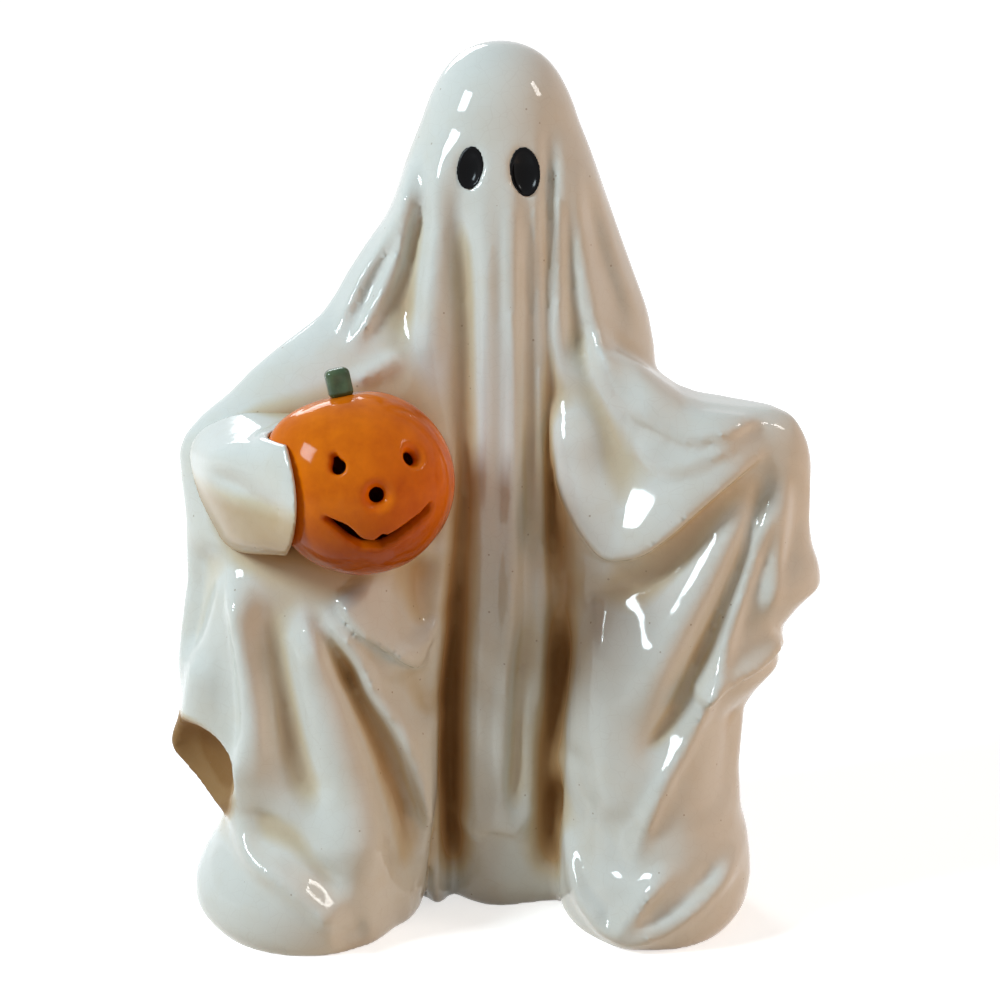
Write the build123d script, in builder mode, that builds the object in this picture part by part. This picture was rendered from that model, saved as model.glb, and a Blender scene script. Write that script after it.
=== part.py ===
from build123d import *
import math
import os
from typing import NamedTuple

# Hollow slip-cast ceramic ghost: a bed sheet draped over a head and two raised arms,
# with a pierced pumpkin lantern held against it by a hand under the sheet.
# Millimetres, +Z up, the face looks along -Y, the floor is Z = 0. Left and right are the viewer's.

# Cast shell
CROWN_HEIGHT = 272.0  # floor to the top of the head
HEAD_RADIUS = 21.0  # dome of the head
SHOULDER_HEIGHT = 192.0  # where the sheet leaves the neck and runs out over the arms
WALL = 5.0  # thickness of the cast sheet
SLIP_GAP = 0.2  # joint line where two castings are stuck together with slip
AXIS_X = 3.0  # the upright line through the middle of the head
AXIS_Y = 19.5

# Levels of the sheet
SECTION_STEP = 6.0  # height between neighbouring levels
RING_POINTS = 80  # points round each level
RING_STRIDES = 360  # short strides by which the way round a level is measured
FOLD_ROOM = 3.5  # how far the smooth inside of the sheet keeps clear of the valleys between the folds
FOLD_ENDS = 0.2  # share of a fold's length over which it fades at each end
FOLD_THICKNESS = 20.0  # half thickness of a level below which its folds grow flatter
SIDE_OVERLAP = 0.08  # how far the folds of the front and the back run on past the sides, as a share of facing
SIDE_FADE = 0.4  # share of facing over which they grow to their full height

# Folds down the back: waves that fan out from the neck
BACK_RISE = 2.4
BACK_WAVES = 3.3  # from the middle to the side
BACK_NECK = 24.0  # half width of the fan at the neck
BACK_FOOT = 100.0  # half width of the fan at the floor
NECK_HEIGHT = 225.0

# Drapes over the arms: how far out they reach, and the height at which they reach that far
RIGHT_HAND_X = 99.0
RIGHT_HAND_HEIGHT = 151.0
RIGHT_HEM_X = 101.6
RIGHT_HEM_HEIGHT = 109.0
RIGHT_FOOT_X = 82.0
RIGHT_FOOT_Y = -43.0
LEFT_HAND_X = -97.0
LEFT_HAND_HEIGHT = 150.0
LEFT_HEM_X = -102.4
LEFT_HEM_HEIGHT = 51.0
LEFT_FOOT_X = -94.0
LEFT_FOOT_Y = -46.5
FOOT_HEIGHT = 13.0  # widest level of the cloth that puddles on the floor
ARM_ROUND = 14.0  # drop from the top of an arm to the level of its reach

# Eyes
EYE_DROP = 35.2  # crown to the middle of the face
EYE_WIDTH = 9.2
EYE_LENGTH = 14.4
EYES = {"left_eye": (-6.3, 0.9), "right_eye": (10.3, -0.9)}  # across, and up from the middle of the face
SOCKET_DEPTH = 3.0
GLAZE_DEPTH = 2.0
GLAZE_DISH = 1.2
GLAZE_RIM = 0.6
GLAZE_GAP = 0.1

# Pumpkin lantern
PUMPKIN_RADIUS = 27.0
PUMPKIN_WALL = 4.0
PUMPKIN_X = -37.7
PUMPKIN_HEIGHT = 148.0
PUMPKIN_SEAT = 4.0  # depth that it sits into the sheet behind it
PUMPKIN_TURN = 11.0  # degrees that its face turns towards +X
PUMPKIN_LEAN = 9.0  # degrees that its stem leans towards -X
RIB_COUNT = 10
RIB_DEPTH = 0.5
POINTS_PER_RIB = 6
CAP_LATITUDE = 78.0  # degrees up and down to the flats at its top and bottom
PUMPKIN_LEVELS = 8  # steps of its form from the lower flat to the upper one

# Face cut through the pumpkin: each hole as degrees right of and above the middle of the face
EYE_HOLES = ((-28.0, 24.0), (28.0, 24.0))
EYE_HOLE_RADIUS = 2.7
EYE_NOTCH = 5.0  # height of the point on the left eye above its middle
NOSE_HOLE = (0.0, 3.0)
NOSE_HOLE_RADIUS = 3.5
MOUTH_LATITUDE = -17.0
MOUTH_WIDTH = 31.0
MOUTH_SAG = 10.0  # corner of the mouth to the middle of the lower lip
LIP_SAG = 6.0  # corner of the mouth to the middle of the upper lip
TOOTH_WIDTH = 7.0
TOOTH_LENGTH = 2.0

# Stem of the pumpkin
STEM_RADIUS = 4.7
STEM_HEIGHT = 8.5
STEM_SIDES = 6
STEM_TAPER = 4.0
STEM_ROUND = 0.8

# Covered hand
HAND_HEIGHT = 144.5
HAND_ROOT = 11.0  # depth of its root behind the face of the sheet


class Section(NamedTuple):
    """One level of the hanging sheet: the edges of an oval and its turn in degrees."""

    height: float
    left: float
    right: float
    front: float
    back: float
    turn: float = 0.0


class Fold(NamedTuple):
    """A ridge of the cloth seen from the front, or a valley where its rise is negative.

    It runs through points given as (x, height). A lip drops off on the left of its path within its width,
    and slopes away on the right over a longer distance."""

    path: tuple
    width: float
    rise: float
    lip: float = 0.0


class Fist(NamedTuple):
    """One oval section across the covered hand, placed from the pumpkin's side and the face of the sheet."""

    forward: float
    away: float
    rise: float
    half_width: float
    half_height: float


def between(low, high, share):
    """A level part of the way from one to another."""
    return low + (high - low) * share


DOME_LATITUDE = 20.0  # degrees above the middle of the head where the dome runs into the falling sheet
DOME_LATITUDES = (DOME_LATITUDE, 38.0, 56.0, 72.0, 85.0)
ARM_LATITUDES = (30.0, 55.0, 72.0, 84.0)
DOME_CENTRE = CROWN_HEIGHT - HEAD_RADIUS
DOME_BASE = DOME_CENTRE + HEAD_RADIUS * math.sin(math.radians(DOME_LATITUDE))
DOME_SIDE = HEAD_RADIUS * math.cos(math.radians(DOME_LATITUDE))


def trunk_section(height, side, front, back):
    """A level of the trunk, by its half width and its depths before and behind the axis."""
    return Section(height, AXIS_X - side, AXIS_X + side, AXIS_Y - front, AXIS_Y + back)


TRUNK = (
    trunk_section(0.0, 50.0, 27.0, 42.0),
    trunk_section(between(0.0, SHOULDER_HEIGHT, 0.3), 47.5, 29.0, 37.0),
    trunk_section(between(0.0, SHOULDER_HEIGHT, 0.6), 44.0, 30.0, 33.0),
    trunk_section(between(0.0, SHOULDER_HEIGHT, 0.86), 46.5, 29.5, 31.0),
    trunk_section(SHOULDER_HEIGHT, 47.0, 29.0, 30.5),
    trunk_section(between(SHOULDER_HEIGHT, DOME_BASE, 0.35), 36.5, 27.5, 29.0),
    trunk_section(between(SHOULDER_HEIGHT, DOME_BASE, 0.67), 28.5, 25.5, 26.5),
    trunk_section(DOME_BASE, DOME_SIDE, DOME_SIDE, DOME_SIDE),
)

RIGHT_DRAPE = (
    Section(0.0, 27.0, RIGHT_FOOT_X - 2.0, RIGHT_FOOT_Y + 2.0, 30.0),
    Section(FOOT_HEIGHT, 26.0, RIGHT_FOOT_X, RIGHT_FOOT_Y, 30.0),
    Section(between(FOOT_HEIGHT, RIGHT_HEM_HEIGHT, 0.3), 24.5, 79.0, -37.0, 28.5),
    Section(between(FOOT_HEIGHT, RIGHT_HEM_HEIGHT, 0.6), 23.5, 80.5, -33.0, 26.5),
    Section(between(FOOT_HEIGHT, RIGHT_HEM_HEIGHT, 0.75), 23.0, 90.0, -31.0, 24.5, -4.0),
    Section(RIGHT_HEM_HEIGHT, 22.0, RIGHT_HEM_X, -29.0, 22.0, -8.0),
    Section(between(RIGHT_HEM_HEIGHT, RIGHT_HAND_HEIGHT, 0.5), 16.0, 98.0, -25.0, 20.0, -12.0),
    Section(RIGHT_HAND_HEIGHT, 9.0, RIGHT_HAND_X, -19.0, 19.0, -15.0),
)

LEFT_ARM_TOP = between(LEFT_HAND_HEIGHT, SHOULDER_HEIGHT, 1.1)
LEFT_DRAPE = (
    Section(0.0, LEFT_FOOT_X + 3.0, -30.0, LEFT_FOOT_Y + 2.0, 34.0),
    Section(FOOT_HEIGHT, LEFT_FOOT_X, -28.0, LEFT_FOOT_Y, 33.5),
    Section(between(FOOT_HEIGHT, LEFT_HEM_HEIGHT, 0.45), -87.5, -23.0, -42.5, 32.5),
    Section(LEFT_HEM_HEIGHT, LEFT_HEM_X, -15.0, -37.0, 31.0),
    Section(between(LEFT_HEM_HEIGHT, LEFT_HAND_HEIGHT, 0.4), -98.0, -11.0, -30.0, 28.0, 3.0),
    Section(between(LEFT_HEM_HEIGHT, LEFT_HAND_HEIGHT, 0.75), -95.0, -7.0, -22.0, 26.0, 8.0),
    Section(LEFT_HAND_HEIGHT, LEFT_HAND_X, 0.0, -15.0, 26.0, 12.0),
    Section(between(LEFT_HAND_HEIGHT, LEFT_ARM_TOP, 0.2), -91.0, 0.0, -12.0, 26.0, 12.0),
    Section(between(LEFT_HAND_HEIGHT, LEFT_ARM_TOP, 0.5), -75.0, 2.0, -8.0, 26.0, 11.0),
    Section(between(LEFT_HAND_HEIGHT, LEFT_ARM_TOP, 0.8), -57.0, 4.0, -2.0, 27.0, 9.0),
    Section(LEFT_ARM_TOP, -44.0, 6.0, 3.0, 27.0, 7.0),
)

# Main folds of the front, from the viewer's left to right in each group
FOLDS = (
    # Left arm and the cloth below it
    Fold(((-20, 241), (-26, 223), (-32, 205), (-41, 188)), 5.5, 2.6),
    Fold(((-20, 231), (-23, 212), (-26, 195), (-29, 179)), 5.5, -4.4),
    Fold(((-85, 126), (-87, 113), (-90, 98), (-93, 83)), 5.5, -4.5),
    Fold(((-99, 57), (-95, 70), (-92, 84), (-86, 99), (-80, 118)), 5.5, 3.6, 9.0),
    Fold(((-78, 114), (-76, 93), (-74, 71)), 5.5, -3.2),
    Fold(((-77, 120), (-75, 99), (-71, 77), (-70, 52)), 5.5, 2.6),
    Fold(((-68, 112), (-65, 97), (-62, 74), (-55, 48), (-49, 32)), 5.5, -2.6),
    Fold(((-59, 110), (-50, 89), (-43, 70), (-37, 51), (-31, 18)), 5.5, 4.6, 13.0),
    Fold(((-52, 112), (-42, 95), (-35, 79), (-25, 64), (-20, 43), (-17, 0)), 5.5, 3.8),
    Fold(((-18, 85), (-22, 86), (-29, 92), (-38, 99), (-47, 111)), 5.5, 5.0, 11.0),
    Fold(((-22, 122), (-23, 105), (-19, 93)), 5.5, -4.6),
    Fold(((-30, 89), (-24, 79), (-21, 62)), 5.5, -3.0),
    Fold(((-80, 42), (-74, 31), (-64, 26), (-55, 20), (-47, 13), (-41, 13)), 5.5, 3.0),
    Fold(((-78, 44), (-64, 38), (-53, 29), (-43, 17)), 5.5, -2.8),
    # Straight folds down the middle
    Fold(((-15, 250), (-16, 219), (-18, 197), (-18, 170)), 4.5, 2.6),
    Fold(((-11, 242), (-10, 224), (-8, 207), (-7, 155), (-11, 93), (-14, 0)), 4.4, -6.0),
    Fold(((-12, 170), (-12, 142), (-16, 86), (-17, 47), (-16, 0)), 3.6, 2.8),
    Fold(((0, 242), (-1, 198), (-3, 117)), 5.0, 2.4),
    Fold(((6, 242), (7, 126), (3, 20)), 3.6, 3.0),
    Fold(((11, 230), (11, 104), (6, 23)), 3.6, -2.8),
    Fold(((15, 253), (16, 104), (16, 50)), 3.6, 2.4),
    Fold(((17, 253), (17, 197), (18, 158), (19, 104)), 3.6, -4.4),
    Fold(((22, 104), (20, 71), (19, 36), (21, 8)), 4.2, -3.6),
    # Right shoulder, the swag on the arm and the cloth below it
    Fold(((23, 235), (24, 209), (30, 174), (37, 138)), 5.5, -3.2),
    Fold(((25, 241), (28, 210), (33, 185), (38, 168)), 5.5, 2.6),
    Fold(((28, 235), (33, 213), (39, 194), (42, 180)), 5.5, -3.6),
    Fold(((85, 156), (63, 139), (45, 124), (38, 122), (33, 123), (26, 132), (19, 170)), 5.5, 7.0, 13.0),
    Fold(((84, 164), (68, 160), (58, 158), (48, 162), (38, 167)), 5.5, 2.6, 9.0),
    Fold(((87, 154), (69, 134), (51, 116), (36, 110), (28, 118)), 5.5, -3.6),
    Fold(((84, 151), (65, 117), (57, 103), (42, 68)), 7.0, 4.2),
    Fold(((85, 152), (71, 111), (54, 72), (44, 57)), 5.5, -4.4),
    Fold(((88, 147), (72, 98), (59, 64), (46, 37), (43, 24)), 5.5, 3.2),
    Fold(((90, 93), (82, 87), (70, 82), (65, 78)), 5.5, 5.0, 12.0),
    Fold(((20, 36), (27, 73), (35, 107)), 5.5, 4.0, 16.0),
    Fold(((76, 81), (73, 60), (70, 36)), 5.5, -2.8),
    Fold(((21, 37), (26, 17), (36, 6), (49, 21), (59, 29)), 5.5, 2.8),
    Fold(((37, 46), (39, 31), (41, 19)), 5.5, -3.0),
    Fold(((34, 0), (49, 7), (64, 16), (80, 29)), 5.5, 2.6),
)

FIST = (
    Fist(0.0, 19.0, 2.5, 11.0, 13.0),
    Fist(14.0, 16.0, 1.5, 15.5, 16.5),
    Fist(26.0, 11.0, 0.0, 17.5, 17.5),
    Fist(38.0, 6.0, -1.5, 14.5, 14.0),
    Fist(45.0, 3.0, -2.5, 7.0, 7.0),
)


def row_at(rows, height):
    """The level at a height, between its two neighbours in the table."""
    for low, high in zip(rows, rows[1:]):
        if height <= high.height:
            share = (height - low.height) / (high.height - low.height)
            return Section(*(between(a, b, share) for a, b in zip(low, high)))
    return rows[-1]


def fade(share):
    """A smooth step from 0 to 1."""
    share = min(max(share, 0.0), 1.0)
    return share * share * (3 - 2 * share)


def fold_height(fold, x, height):
    """How far one fold stands out at a place on the front."""
    spans = [math.dist(start, end) for start, end in zip(fold.path, fold.path[1:])]
    nearest, place, side, walked = math.inf, 0.0, 1.0, 0.0
    for (x1, z1), (x2, z2), span in zip(fold.path, fold.path[1:], spans):
        share = min(max(((x - x1) * (x2 - x1) + (height - z1) * (z2 - z1)) / span**2, 0.0), 1.0)
        gap = math.dist((x, height), (between(x1, x2, share), between(z1, z2, share)))
        if gap < nearest:
            nearest, place = gap, (walked + share * span) / sum(spans)
            side = (x2 - x1) * (height - z1) - (z2 - z1) * (x - x1)
        walked += span
    reach = fold.lip if fold.lip and side < 0 else fold.width
    ends = fade(place / FOLD_ENDS) * fade((1 - place) / FOLD_ENDS)
    return fold.rise * ends * math.exp(-((nearest / reach) ** 2))


def back_height(x, height):
    """How far the folds of the back stand out at a place."""
    spread = between(BACK_NECK, BACK_FOOT, fade(1 - height / NECK_HEIGHT))
    wave = math.cos(math.tau * BACK_WAVES * (x - AXIS_X) / spread)
    return BACK_RISE * wave * fade(2 * (1 - height / NECK_HEIGHT))


def relief(x, height, facing):
    """How far the sheet stands out of its plain form at a place that faces forwards (-1) to backwards (1)."""
    front = fade((SIDE_OVERLAP - facing) / SIDE_FADE)
    back = fade((SIDE_OVERLAP + facing) / SIDE_FADE)
    return front * sum(fold_height(fold, x, height) for fold in FOLDS) + back * back_height(x, height)


def folded_ring(section, folded):
    """Points evenly spaced round an oval from its back, in and out of the folds square to its edge."""
    half_x = (section.right - section.left) / 2
    half_y = (section.back - section.front) / 2
    angles = [math.pi / 2 + math.tau * stride / RING_STRIDES for stride in range(RING_STRIDES + 1)]
    lengths = [0.0]
    for angle in angles[1:]:
        lengths.append(lengths[-1] + math.hypot(half_x * math.sin(angle), half_y * math.cos(angle)))
    points = []
    stride = 0
    for index in range(RING_POINTS):
        length = lengths[-1] * index / RING_POINTS
        while lengths[stride + 1] < length:
            stride += 1
        share = (length - lengths[stride]) / (lengths[stride + 1] - lengths[stride])
        angle = between(angles[stride], angles[stride + 1], share)
        place = Vector(half_x * math.cos(angle), half_y * math.sin(angle)).rotate(Axis.Z, section.turn)
        place += Vector((section.left + section.right) / 2, (section.front + section.back) / 2)
        if folded:
            outward = Vector(math.cos(angle) / half_x, math.sin(angle) / half_y).rotate(Axis.Z, section.turn)
            outward = outward.normalized()
            place += outward * relief(place.X, section.height, outward.Y) * fade(half_y / FOLD_THICKNESS)
        points.append((place.X, place.Y))
    return points


def closed_curve(points):
    """A closed, smooth curve with its points evenly spaced in parameter, so that sections match in a loft."""
    return Edge.make_spline(points, periodic=True, parameters=list(range(len(points) + 1)))


def inset_section(section, inset):
    """A level moved in from the sheet's outer face. An inside face is smooth, and clear of the folds."""
    if inset > 0:
        inset += FOLD_ROOM * fade((DOME_CENTRE - section.height) / HEAD_RADIUS)
    return section._replace(
        left=section.left + inset,
        right=section.right - inset,
        front=section.front + inset,
        back=section.back - inset,
    )


def sheet_form(sections, folded):
    """A closed form lofted through the levels of a sheet."""
    with BuildPart() as form:
        for section in sections:
            with BuildSketch(Plane.XY.offset(section.height)):
                with BuildLine():
                    add(closed_curve(folded_ring(section, folded)))
                make_face()
        loft()
    return form.part


def levels(rows, inset):
    """Evenly spaced levels of a sheet, which keep a loft from swinging out between them."""
    steps = round((rows[-1].height - rows[0].height) / SECTION_STEP)
    heights = [between(rows[0].height, rows[-1].height, step / steps) for step in range(steps + 1)]
    return [inset_section(row_at(rows, height), inset) for height in heights]


def trunk_form(inset):
    """The sheet over the head and down the middle, with a round crown."""
    sections = levels(TRUNK, inset)[:-1]
    if inset > 0:
        sections[0] = sections[0]._replace(height=-inset)
    for latitude in DOME_LATITUDES:
        level = DOME_CENTRE + (HEAD_RADIUS - inset) * math.sin(math.radians(latitude))
        side = (HEAD_RADIUS - inset) * math.cos(math.radians(latitude))
        sections.append(trunk_section(level, side, side, side))
    return sheet_form(sections, inset <= 0)


def arm_crown(section, latitude):
    """A level of the rounded top of an arm, above the level at which it reaches furthest."""
    round_in = (section.back - section.front) / 2 * (1 - math.cos(math.radians(latitude)))
    return section._replace(
        height=section.height + ARM_ROUND * math.sin(math.radians(latitude)),
        left=section.left + round_in,
        right=section.right - round_in,
        front=section.front + round_in,
        back=section.back - round_in,
    )


def drape_form(rows, inset):
    """The sheet over one arm. Its inside hangs lower by the wall, to leave a roof on the arm."""
    sections = levels(rows, inset)
    if rows is RIGHT_DRAPE:
        sections += [arm_crown(sections[-1], latitude) for latitude in ARM_LATITUDES]
    drop = max(inset, 0.0)
    return sheet_form([section._replace(height=section.height - drop) for section in sections], inset <= 0)


def sheet_front(x, height):
    """Y of the foremost face of the sheet."""
    hits = []
    for rows in (TRUNK, LEFT_DRAPE, RIGHT_DRAPE):
        points = folded_ring(row_at(rows, height), True)
        for (x1, y1), (x2, y2) in zip(points, points[1:] + points[:1]):
            if min(x1, x2) <= x <= max(x1, x2) and x1 != x2:
                hits.append(between(y1, y2, (x - x1) / (x2 - x1)))
    return min(hits)


def pumpkin_form(grow):
    """The ribbed outside of the pumpkin as one closed form, on its own leaning plane."""
    count = RIB_COUNT * POINTS_PER_RIB
    with BuildPart() as form:
        for step in range(PUMPKIN_LEVELS + 1):
            latitude = math.radians(between(-CAP_LATITUDE, CAP_LATITUDE, step / PUMPKIN_LEVELS))
            level = (PUMPKIN_RADIUS + grow) * math.sin(latitude)
            points = []
            for index in range(count):
                turn = math.tau * index / count
                rib = RIB_DEPTH * math.cos(RIB_COUNT * turn)
                radius = (PUMPKIN_RADIUS + grow + rib) * math.cos(latitude)
                points.append((radius * math.cos(turn), radius * math.sin(turn)))
            with BuildSketch(PUMPKIN_PLANE.offset(level)):
                with BuildLine():
                    add(closed_curve(points))
                make_face()
        loft()
    return form.part


def face_plane(turn, latitude):
    """A plane through the middle of the pumpkin that looks out through a point of its face."""
    turn, latitude = math.radians(turn), math.radians(latitude)
    level = math.cos(latitude)
    middle = PUMPKIN_PLANE.origin
    across = PUMPKIN_PLANE.from_local_coords(Vector(math.cos(turn), math.sin(turn), 0)) - middle
    out = Vector(math.sin(turn) * level, -math.cos(turn) * level, math.sin(latitude))
    return Plane(middle, across, PUMPKIN_PLANE.from_local_coords(out) - middle)


def eye_plane(name):
    """The plane that touches the face of the ghost at an eye."""
    x, rise = EYES[name]
    height = CROWN_HEIGHT - EYE_DROP + rise
    reach = EYE_WIDTH / 2
    front = sheet_front(x, height)
    lean = (sheet_front(x, height + reach) - sheet_front(x, height - reach)) / (2 * reach)
    sweep = (sheet_front(x + reach, height) - sheet_front(x - reach, height)) / (2 * reach)
    return Plane((x, front, height), Vector(1, sweep, 0), Vector(sweep, -1, lean))


PUMPKIN_Y = sheet_front(PUMPKIN_X, PUMPKIN_HEIGHT) - PUMPKIN_RADIUS + PUMPKIN_SEAT
PUMPKIN_PLANE = Plane((PUMPKIN_X, PUMPKIN_Y, PUMPKIN_HEIGHT)).rotated((0, -PUMPKIN_LEAN, PUMPKIN_TURN))
HAND_X = PUMPKIN_X - PUMPKIN_RADIUS
HAND_Y = sheet_front(HAND_X, HAND_HEIGHT) + HAND_ROOT

os.makedirs("parts", exist_ok=True)

# Ghost body: the hollow sheet, open at the foot, with a seat for the pumpkin and sockets for the eyes
with BuildPart() as ghost_body:
    add(trunk_form(0.0))
    add(drape_form(LEFT_DRAPE, 0.0))
    add(drape_form(RIGHT_DRAPE, 0.0))
    add(trunk_form(WALL), mode=Mode.SUBTRACT)
    add(drape_form(LEFT_DRAPE, WALL), mode=Mode.SUBTRACT)
    add(drape_form(RIGHT_DRAPE, WALL), mode=Mode.SUBTRACT)
    add(pumpkin_form(SLIP_GAP), mode=Mode.SUBTRACT)
    for name in EYES:
        with BuildSketch(eye_plane(name).offset(-SOCKET_DEPTH)):
            Ellipse(EYE_WIDTH / 2, EYE_LENGTH / 2)
        extrude(amount=2 * SOCKET_DEPTH, mode=Mode.SUBTRACT)
ghost_body.part.label = "ghost_body"
export_step(ghost_body.part, "parts/ghost_body.step")

# Eyes: dished ovals of black glaze on the floors of the sockets
for name in EYES:
    half_width = EYE_WIDTH / 2 - GLAZE_GAP
    half_length = EYE_LENGTH / 2 - GLAZE_GAP
    floor = eye_plane(name).offset(-SOCKET_DEPTH)
    with BuildPart() as eye:
        with BuildSketch(floor):
            Ellipse(half_width, half_length)
        extrude(amount=GLAZE_DEPTH)
        with BuildSketch(floor.offset(GLAZE_DEPTH - GLAZE_DISH)):
            Ellipse(half_width / 2, half_length / 2)
        with BuildSketch(floor.offset(GLAZE_DEPTH)):
            Ellipse(half_width - GLAZE_RIM, half_length - GLAZE_RIM)
        loft(mode=Mode.SUBTRACT)
    eye.part.label = name
    export_step(eye.part, f"parts/{name}.step")

# Pumpkin: a hollow ribbed shell with a face cut through it
with BuildPart() as pumpkin:
    add(pumpkin_form(0.0))
    with Locations(PUMPKIN_PLANE.origin):
        Sphere(PUMPKIN_RADIUS - RIB_DEPTH - PUMPKIN_WALL, mode=Mode.SUBTRACT)
    for turn, latitude in EYE_HOLES:
        with BuildSketch(face_plane(turn, latitude)):
            Circle(EYE_HOLE_RADIUS)
            if turn < 0:
                Polygon((-EYE_HOLE_RADIUS, 0), (EYE_HOLE_RADIUS, 0), (0, EYE_NOTCH), align=None)
        extrude(amount=2 * PUMPKIN_RADIUS, mode=Mode.SUBTRACT)
    with BuildSketch(face_plane(*NOSE_HOLE)):
        Circle(NOSE_HOLE_RADIUS)
    extrude(amount=2 * PUMPKIN_RADIUS, mode=Mode.SUBTRACT)
    with BuildSketch(face_plane(0.0, MOUTH_LATITUDE)):
        corner = MOUTH_WIDTH / 2
        with BuildLine():
            ThreePointArc((-corner, LIP_SAG), (0, LIP_SAG - MOUTH_SAG), (corner, LIP_SAG))
            ThreePointArc((-corner, LIP_SAG), (0, 0), (corner, LIP_SAG))
        make_face()
        Rectangle(TOOTH_WIDTH, 2 * TOOTH_LENGTH, mode=Mode.SUBTRACT)
    extrude(amount=2 * PUMPKIN_RADIUS, mode=Mode.SUBTRACT)
pumpkin.part.label = "pumpkin"
export_step(pumpkin.part, "parts/pumpkin.step")

# Stem: a stub that stands on the flat at the top of the pumpkin
with BuildPart() as pumpkin_stem:
    with BuildSketch(PUMPKIN_PLANE.offset(PUMPKIN_RADIUS * math.sin(math.radians(CAP_LATITUDE)))):
        RegularPolygon(STEM_RADIUS, STEM_SIDES)
    extrude(amount=STEM_HEIGHT, taper=STEM_TAPER)
    fillet(pumpkin_stem.edges(), STEM_ROUND)
pumpkin_stem.part.label = "pumpkin_stem"
export_step(pumpkin_stem.part, "parts/pumpkin_stem.step")

# Covered hand: a rounded fist of cloth that closes on the side of the pumpkin
with BuildPart() as covered_hand:
    for section in FIST:
        with BuildSketch(Plane.XZ.offset(section.forward - HAND_Y)):
            with Locations((HAND_X - section.away, HAND_HEIGHT + section.rise)):
                Ellipse(section.half_height, section.half_width, rotation=90)
    loft()
    add(drape_form(LEFT_DRAPE, -SLIP_GAP), mode=Mode.SUBTRACT)
    add(pumpkin_form(SLIP_GAP), mode=Mode.SUBTRACT)
covered_hand.part.label = "covered_hand"
export_step(covered_hand.part, "parts/covered_hand.step")
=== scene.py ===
import itertools
import math
from typing import NamedTuple

import bpy
import numpy as np
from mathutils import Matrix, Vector


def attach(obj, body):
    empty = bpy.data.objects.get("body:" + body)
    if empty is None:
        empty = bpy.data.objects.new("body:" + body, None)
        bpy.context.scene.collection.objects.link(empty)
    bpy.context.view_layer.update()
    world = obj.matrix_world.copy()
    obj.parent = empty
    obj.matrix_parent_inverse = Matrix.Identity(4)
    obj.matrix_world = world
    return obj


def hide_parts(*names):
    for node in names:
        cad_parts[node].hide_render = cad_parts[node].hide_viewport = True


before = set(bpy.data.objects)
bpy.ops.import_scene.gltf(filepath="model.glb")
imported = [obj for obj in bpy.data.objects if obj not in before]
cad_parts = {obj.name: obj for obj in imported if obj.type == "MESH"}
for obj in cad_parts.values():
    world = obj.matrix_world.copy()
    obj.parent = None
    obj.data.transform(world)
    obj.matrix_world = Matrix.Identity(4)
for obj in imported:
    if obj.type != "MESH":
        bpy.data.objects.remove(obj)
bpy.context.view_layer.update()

# Lengths are millimetres until a mesh is made. +Z is up, the ghost faces along -Y.
MM = 0.001
AXIS_X = 3.0  # the upright line through the head
AXIS_Y = 19.5

# Camera of the photograph, and the pixel at which it sees its target
TARGET = np.array([2.0, 4.5, 135.0])
CAMERA_DISTANCE = 650.0
CAMERA_RISE = math.radians(14.0)
TARGET_PIXEL = (497.0, 492.0)
PHOTO_SIZE = 1000
PIXELS_PER_MM = 3.19  # at the target
FOCAL_PIXELS = PIXELS_PER_MM * CAMERA_DISTANCE
TOWARDS_CAMERA = np.array([0.0, -math.cos(CAMERA_RISE), math.sin(CAMERA_RISE)])
CAMERA_PLACE = TARGET + TOWARDS_CAMERA * CAMERA_DISTANCE
SENSOR = 36.0

TINY = 1e-6  # keeps a division clear of zero
GRID_MARGIN = 1.001  # keeps a place within the last cell of a grid


# Fields: every form is a function that is negative inside and grows by about one per millimetre

def smooth_min(a, b, blend):
    """The union of two fields with a fillet."""
    overlap = np.maximum(blend - np.abs(a - b), 0) / blend
    return np.minimum(a, b) - overlap**2 * blend / 4


def smooth_max(a, b, blend):
    """The common part of two fields with a rounded edge."""
    return -smooth_min(-a, -b, blend)


def offsets_from(middle, x, y, z):
    """How far places lie from a middle, along each axis."""
    return [value - start for value, start in zip((x, y, z), middle)]


def along(offsets, way):
    """How far offsets reach in a direction."""
    return sum(offset * step for offset, step in zip(offsets, way))


def total_reach(offsets):
    """The length of offsets."""
    return np.sqrt(sum(offset**2 for offset in offsets)) + TINY


def ellipsoid(x, y, z, centre, radii):
    """A field of an ellipsoid that stands square to the axes."""
    offsets = [offset / radius for offset, radius in zip(offsets_from(centre, x, y, z), radii)]
    reach = total_reach(offsets)
    slope = np.sqrt(sum((offset / radius) ** 2 for offset, radius in zip(offsets, radii))) + TINY
    return reach * (reach - 1) / slope


class Profile:
    """A size that changes with height, given at a few levels and eased between them."""

    LOWEST = -40.0
    HIGHEST = 330.0
    STEP = 0.5
    LEVELS = np.arange(LOWEST, HIGHEST, STEP)
    REACH = 3  # how many spreads to each side are averaged

    def __init__(self, points, spread):
        heights, values = zip(*points)
        reach = int(self.REACH * spread / self.STEP) + 1
        weights = np.exp(-0.5 * (np.arange(-reach, reach + 1) * self.STEP / spread) ** 2)
        raw = np.interp(self.LEVELS, heights, values)
        padded = np.pad(raw, reach, mode="edge")
        self.values = np.convolve(padded, weights / weights.sum(), mode="valid")

    def at(self, z):
        """The size at a height."""
        return np.interp(z, self.LEVELS, self.values)


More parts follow.
